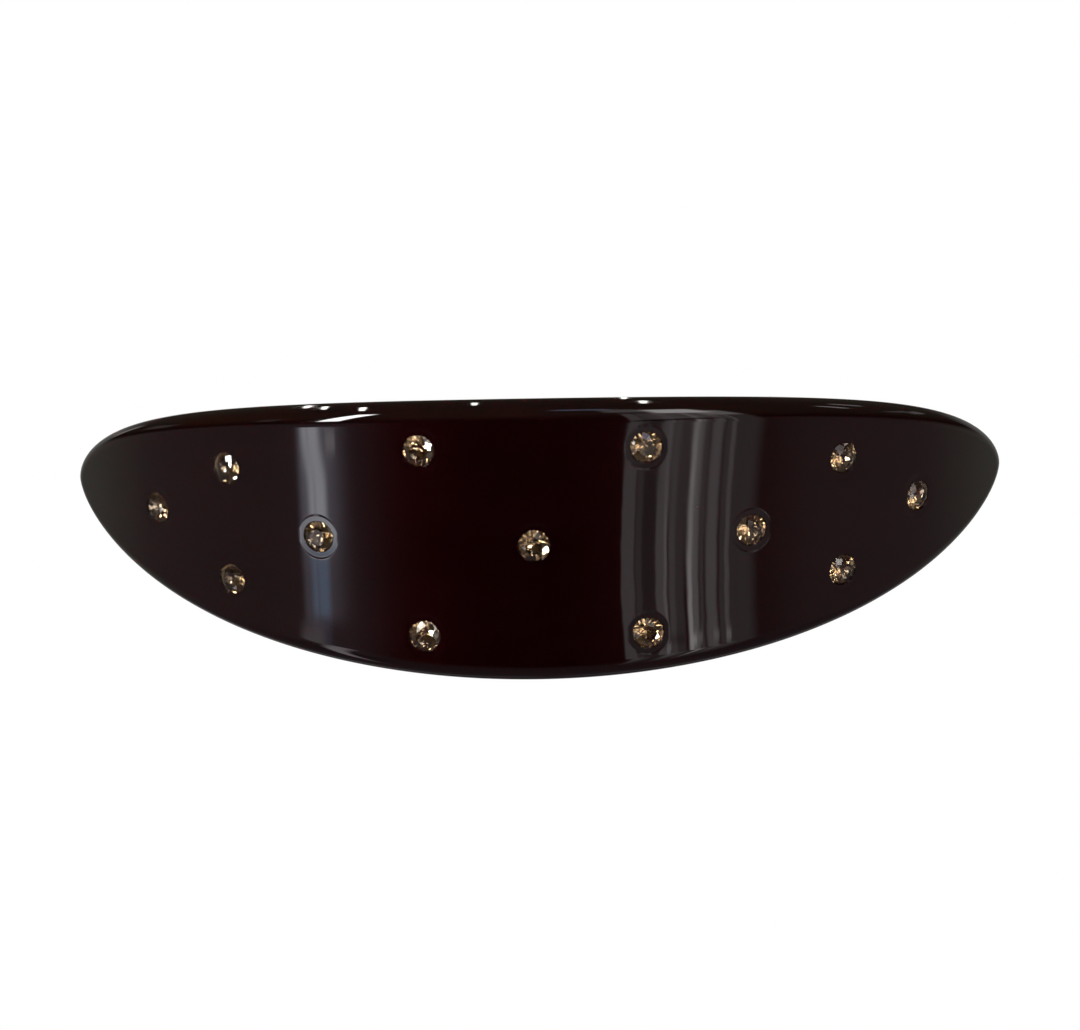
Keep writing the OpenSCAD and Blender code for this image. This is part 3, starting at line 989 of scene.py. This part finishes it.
# the surroundings, over azimuths and heights in degrees
DARK = (0.006, 0.004, 0.006)
FOLDS = [                   # azimuth, half width, soft edge and brightness of the curtain's folds
    (17.9, 1.1, 0.5, 0.82), (20.3, 0.6, 0.6, 0.46), (22.3, 1.2, 0.5, 0.22),
    (24.9, 0.9, 0.5, 0.95), (25.8, 0.1, 0.4, 1.60), (27.3, 0.5, 0.6, 0.80),
    (28.9, 0.6, 0.7, 0.46), (31.1, 0.2, 0.6, 3.40), (32.3, 0.3, 0.6, 1.35),
    (33.6, 0.2, 0.4, 0.60), (35.7, 0.8, 0.9, 1.05), (38.0, 0.3, 0.5, 0.50),
    (39.2, 0.3, 0.5, 1.10), (40.5, 0.3, 0.6, 0.42), (42.6, 0.8, 3.4, 0.42),
]
HEMS = [                    # azimuth, half width, height and brightness of its hem's bright ends
    (26.6, 0.3, -20.42, 2.4), (31.9, 0.6, -20.30, 4.2), (33.4, 0.3, -20.25, 2.1),
    (36.9, 0.5, -20.20, 1.8), (39.7, 0.4, -20.18, 2.2),
]
GLINTS = [                  # azimuth, height, half width, half height and brightness
    (-138.5, 13.4, 2.5, 3.0, 0.9), (-109, 19, 5.0, 2.0, 0.35), (-67, 21.8, 1.6, 2.0, 0.6),
    (97.5, 40, 1.5, 2.5, 3.0), (121.5, 41.2, 3.0, 2.0, 1.3), (121, 24.6, 5.0, 1.2, 0.7),
    (111, 27.0, 6.0, 1.0, 0.5),
]
LAMPS = [                   # azimuth and height, the two of the rim's own direction, and half width
    (-152, 42, 67.6, 7.4, 0.0060), (-131.5, 54.6, 69.8, 6.5, 0.0085),
    (-91.6, 62.6, 73.8, 5.1, 0.0130), (-149.3, 73.5, 84.7, 1.6, 0.0080),
    (176.5, 27.3, 98.9, -2.8, 0.0020), (131.5, 72.4, 100.6, -3.3, 0.0110),
]


def direction(azimuth, height):
    """Unit vector at an azimuth and a height above the horizon, in degrees."""
    a, h = math.radians(azimuth), math.radians(height)
    return Vector((math.sin(a) * math.cos(h), -math.cos(a) * math.cos(h), math.sin(h)))


def pale(bright, blue=0.96):
    return bright, bright * 0.95, bright * blue


class Surroundings(Nodes):
    """What the polish reflects. Each layer goes over the ones before it."""

    def __init__(self, tree):
        super().__init__(tree)
        self.unit = self.add("ShaderNodeVectorMath", {"operation": "NORMALIZE"}, {0: self.place()})
        parts = tree.nodes.new("ShaderNodeSeparateXYZ")
        tree.links.new(self.unit.socket, parts.inputs[0])
        x, y, z = (Number(self, socket) for socket in parts.outputs)
        self.azimuth = self.math("ARCTAN2", x, 0 - y) * math.degrees(1)
        self.height = self.math("ARCSINE", z) * math.degrees(1)
        self.light = DARK
        self.room()
        self.window()
        self.curtain()
        self.glints()
        self.lamps()

    def lay(self, mask, tone):
        """Puts a tone over what is there, where the mask is 1."""
        self.light = self.mix(mask, self.light, tone)

    def band(self, value, centre, half, soft):
        """1 within half of centre, falling to 0 over soft more."""
        return self.smooth(abs(value - centre), half + soft, half)

    def patch(self, across, upward):
        """1 in a patch: its centre, half size and soft edge in azimuth, and the same in height."""
        return self.band(self.azimuth, *across) * self.band(self.height, *upward)

    def room(self):
        """A dark room with grey sides and a grey back."""
        azimuth, height, smooth = self.azimuth, self.height, self.smooth
        self.lay(smooth(height, 0, 30), (0.115, 0.095, 0.070))
        level = smooth(height, 10, -6)
        self.lay(smooth(abs(azimuth + 3), 6, 30) * level, (0.090, 0.012, 0.016))
        haze = smooth(azimuth, -20, -46)
        self.lay(haze * haze * level, (0.30, 0.24, 0.27))
        self.lay(smooth(azimuth, 4, 40) * level, (0.125, 0.065, 0.070))
        self.lay(smooth(abs(azimuth), 40, 62) * level, (0.215, 0.165, 0.17))
        self.lay(smooth(abs(azimuth), 85, 112) * level, (0.27, 0.27, 0.235))
        self.lay(smooth(height, -26, -45), (0.12, 0.10, 0.11))
        back = self.band(abs(azimuth), 145, 8, 6) * smooth(height, 20, 5)
        self.lay(back, (0.30, 0.30, 0.29))

    def window(self):
        """The window on the left, its glow, the sill and apron under it, and a skylight."""
        azimuth, height, smooth, band = self.azimuth, self.height, self.smooth, self.band
        glow = smooth(azimuth, -37, -46.5) * smooth(azimuth, -53, -50.5)
        glow = glow * glow * smooth(height, -9, -14) * smooth(height, -19.95, -19.55)
        self.lay(glow * smooth(height, -19.0, -17.8, 0.55, 1.0), (1.35, 1.35, 1.6))
        leaning = azimuth + smooth(height, -17.1, -16.3) * 1.2
        core = band(leaning, -47.5, 1.1, 1.7) * smooth(height, -11.5, -13.5)
        core = core * smooth(height, -19.74, -19.58, 0.18, 1.0) * smooth(height, -23, -20.5)
        core = core * (1 - 0.35 * band(leaning, -48.1, 0.1, 0.35))
        self.lay(core, self.mix(smooth(height, -18.1, -18.6), (4.3, 4.4, 4.8), (1.3, 1.7, 2.4)))
        self.lay(self.patch((-44.1, 0.7, 0.7), (-16.35, 0.10, 0.22)), (2.3, 2.2, 2.3))
        self.lay(self.patch((-47.2, 2.0, 1.4), (26, 12, 4)), (30, 30, 30))
        sill = band(azimuth - (height + 26) * 0.55, -45.8, 1.2, 3.6)
        self.lay(sill * smooth(height, -20.25, -23) * smooth(height, -66, -48), (2.1, 1.9, 2.0))
        apron = band(azimuth, -49.9, 1.2, 2.8) * smooth(height, -19.62, -20.0)
        self.lay(apron * smooth(height, -30, -22), (1.05, 0.95, 1.0))
        self.lay(self.patch((13, 6, 5), (48, 1.5, 3)), (0.9, 1.2, 1.8))

    def curtain(self):
        """The curtain on the right: its folds bow to the left and waver a little."""
        azimuth, height, smooth, band = self.azimuth, self.height, self.smooth, self.band
        ripple = self.noise(self.vector(azimuth * 0.25, height * 2.5, 0), 1.0, 2.0, 0.6) - 0.5
        bow = self.math("MINIMUM", (height + 19) ** 2 * 0.25, 2.4)
        fold_at = azimuth - bow + ripple * 0.9
        drape = smooth(height, 30, 20) * smooth(height, -50, -22)
        for centre, half, soft, bright in FOLDS:
            self.lay(band(fold_at, centre, half, soft) * drape, pale(bright))
        self.lay(self.patch((32, 7, 4), (12, 10, 8)) * 0.6, (1.1, 1.0, 1.0))
        self.lay(self.patch((22, 4, 3), (39, 5, 5)), (1.0, 0.95, 0.95))
        self.lay(self.patch((42, 3, 3), (25, 7, 6)), (1.9, 1.8, 1.8))
        self.lay(self.patch((35, 5, 4), (34, 6, 5)), (5.6, 5.4, 5.4))
        shadow = band(azimuth, 29, 8, 3) * band(height - (azimuth - 27) * 0.5, -5, 1.5, 3.5)
        shadow = shadow + self.patch((27.6, 2.0, 0.8), (-20.28, 0.02, 0.06))
        self.lay(shadow * 0.75, DARK)
        for centre, half, level, bright in HEMS:
            self.lay(self.patch((centre, half, 0.3), (level, 0.06, 0.05)), pale(bright))

    def glints(self):
        """Small far things that glint in the border's ends."""
        for centre, level, half, tall, bright in GLINTS:
            self.lay(self.patch((centre, half, half), (level, tall, tall)), pale(bright, 0.94))

    def lamps(self):
        """Ceiling lamps: thin tubes across the rim's own direction at the place that shows each."""
        for lamp_azimuth, lamp_height, turn, rise, reach in LAMPS:
            towards = direction(lamp_azimuth, lamp_height)
            across = direction(turn, rise)
            along = across.cross(towards).normalized()
            side_step = self.dot(self.unit, across) - across.dot(towards)
            lamp = self.band(side_step, 0, 0.4 * reach, 0.6 * reach)
            lamp = lamp * self.band(self.dot(self.unit, along), 0, 0.12, 0.14)
            ahead = self.smooth(self.dot(self.unit, towards), 0.5, 0.7)
            self.lay(lamp * ahead, (40, 39, 37))


def surroundings_material(brightness):
    material, nodes = new_material("surroundings", Surroundings)
    return shining(material, nodes, nodes.light, brightness)


def white_material():
    material, nodes = new_material("white_paper")
    return shining(material, nodes, (1, 1, 1, 1), 1.0)


def ball(name, radius, centre, material):
    """A sphere from a grid of longitude and latitude, as part of the stage."""
    longitude = np.linspace(0, 2 * math.pi, SIDES + 1)[:, None]
    latitude = np.linspace(-math.pi / 2, math.pi / 2, SIDES // 2 + 1)[None]
    points = np.stack([
        np.cos(latitude) * np.cos(longitude),
        np.cos(latitude) * np.sin(longitude),
        np.sin(latitude) + 0 * longitude,
    ], -1) * radius
    index = np.arange(points[..., 0].size).reshape(points.shape[:2])
    flat = points.reshape(-1, 3)
    flat, _, faces = weld(flat, flat, quads(index).reshape(-1, 4))
    piece = new_piece(name, flat, faces, material)
    piece.location = centre
    return piece


def floor(centre):
    """A plain pale disc under the barrette, low enough to leave it free to be seen from below."""
    angle = np.arange(SIDES) * 2 * math.pi / SIDES
    rim = np.stack([np.cos(angle), np.sin(angle), 0 * angle], -1) * FLOOR
    piece = new_piece("floor", rim, [list(range(SIDES))], white_material())
    piece.location = centre
    return piece


def seen_only_by_camera(piece):
    piece.visible_diffuse = False
    piece.visible_glossy = False
    piece.visible_transmission = False
    piece.visible_shadow = False


class BARRETTE_OT_stage(bpy.types.Operator):
    """Make the white backdrop, the surroundings, the lights and the camera"""

    bl_idname = "barrette.stage"
    bl_label = "Stage and camera"

    def execute(self, context):
        settings = context.scene.barrette_stage
        scene = context.scene
        scene.view_settings.view_transform = "Standard"
        scene.view_settings.look = "None"
        world = bpy.data.worlds.new("room")
        world.use_nodes = True
        world.node_tree.nodes["Background"].inputs["Strength"].default_value = 0.0
        scene.world = world
        low, high = CAD_BOX
        middle = (low + high) / 2
        seen_only_by_camera(ball("backdrop", BACKDROP, middle, white_material()))
        seen_only_by_camera(floor(middle - Vector((0, 0, FLOOR_DROP))))
        around = ball("surroundings", ROOM, (0, 0, 0), surroundings_material(settings.surroundings))
        around.visible_camera = False
        around.visible_shadow = False
        clip = [piece for piece in scene.objects if piece.name.endswith("_finished")]
        crystals = [piece for piece in scene.objects if piece.name.endswith("_cut")]
        self.light("fill", 6, 8, 0.8, 2.3, reflected=False)
        self.light("back_low", 180, -5, 1.4, 3.2, clip)
        self.light("back_left", -130, 25, 0.7, 2.6, clip)
        self.light("back_right", 130, 40, 0.6, 2.6, clip)
        for number, (azimuth, height) in enumerate(SPARKLES):
            self.light(f"sparkle_{number + 1}", azimuth, height, SPARKLE_SIZE, SPARKLE_POWER, crystals)
        self.camera(settings)
        return {"FINISHED"}

    def light(self, name, azimuth, height, size, power, receivers=(), reflected=True):
        """A square soft light in this direction, aimed at the barrette. It lights only the
        receivers, if there are any, and is only seen in their polish if it is reflected."""
        lamp = bpy.data.lights.new(name, "AREA")
        lamp.size = size
        lamp.energy = power
        piece = placed(name, lamp)
        towards = direction(azimuth, height)
        piece.location = towards * LIGHT_DISTANCE
        piece.rotation_mode = "QUATERNION"
        piece.rotation_quaternion = towards.to_track_quat("Z", "Y")
        piece.visible_glossy = reflected
        piece.visible_transmission = reflected
        piece.visible_camera = False
        if receivers:
            group = bpy.data.collections.new(f"{name}_receivers")
            for receiver in receivers:
                group.objects.link(receiver)
            piece.light_linking.receiver_collection = group

    def camera(self, settings):
        back = direction(math.degrees(settings.azimuth), math.degrees(settings.elevation))
        level = Vector((math.cos(settings.azimuth), math.sin(settings.azimuth), 0))
        upward = back.cross(level)
        right = level * math.cos(settings.roll) + upward * math.sin(settings.roll)
        up = back.cross(right)
        data = bpy.data.cameras.new("camera")
        data.lens = settings.lens
        data.sensor_width = SENSOR
        data.clip_start, data.clip_end = 0.01, 100
        piece = placed("camera", data)
        turn = Matrix((right, up, back)).transposed().to_4x4()
        piece.matrix_world = Matrix.Translation(AIM + back * settings.distance) @ turn
        bpy.context.scene.camera = piece


# -------------------- panel and start

OPERATORS = [
    BARRETTE_OT_plate, BARRETTE_OT_crystals, BARRETTE_OT_base, BARRETTE_OT_arm,
    BARRETTE_OT_tension_bar, BARRETTE_OT_catch, BARRETTE_OT_rivets, BARRETTE_OT_stage,
]
GROUPS = {
    "barrette_plate": PlateSizes,
    "barrette_crystals": CrystalSizes,
    "barrette_bar": BarSizes,
    "barrette_stage": StageSettings,
}


class BARRETTE_PT_panel(bpy.types.Panel):
    """The barrette's sizes, colours and pieces"""

    bl_idname = "BARRETTE_PT_panel"
    bl_label = "Barrette"
    bl_space_type = "VIEW_3D"
    bl_region_type = "UI"
    bl_category = "Barrette"

    def draw(self, context):
        for name, group in GROUPS.items():
            box = self.layout.box()
            for setting in group.__annotations__:
                box.prop(getattr(context.scene, name), setting)
        for operator in OPERATORS:
            self.layout.operator(operator.bl_idname)


def register():
    for group in GROUPS.values():
        bpy.utils.register_class(group)
    for operator in OPERATORS:
        bpy.utils.register_class(operator)
    bpy.utils.register_class(BARRETTE_PT_panel)
    for name, group in GROUPS.items():
        setattr(bpy.types.Scene, name, PointerProperty(type=group))


def unregister():
    for name in GROUPS:
        delattr(bpy.types.Scene, name)
    bpy.utils.unregister_class(BARRETTE_PT_panel)
    for operator in reversed(OPERATORS):
        bpy.utils.unregister_class(operator)
    for group in reversed(GROUPS.values()):
        bpy.utils.unregister_class(group)


def main():
    register()
    bpy.ops.barrette.plate()
    bpy.ops.barrette.crystals()
    bpy.ops.barrette.base()
    bpy.ops.barrette.arm()
    bpy.ops.barrette.tension_bar()
    bpy.ops.barrette.catch()
    bpy.ops.barrette.rivets()
    bpy.ops.barrette.stage()
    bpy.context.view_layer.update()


if __name__ == "__main__":
    main()
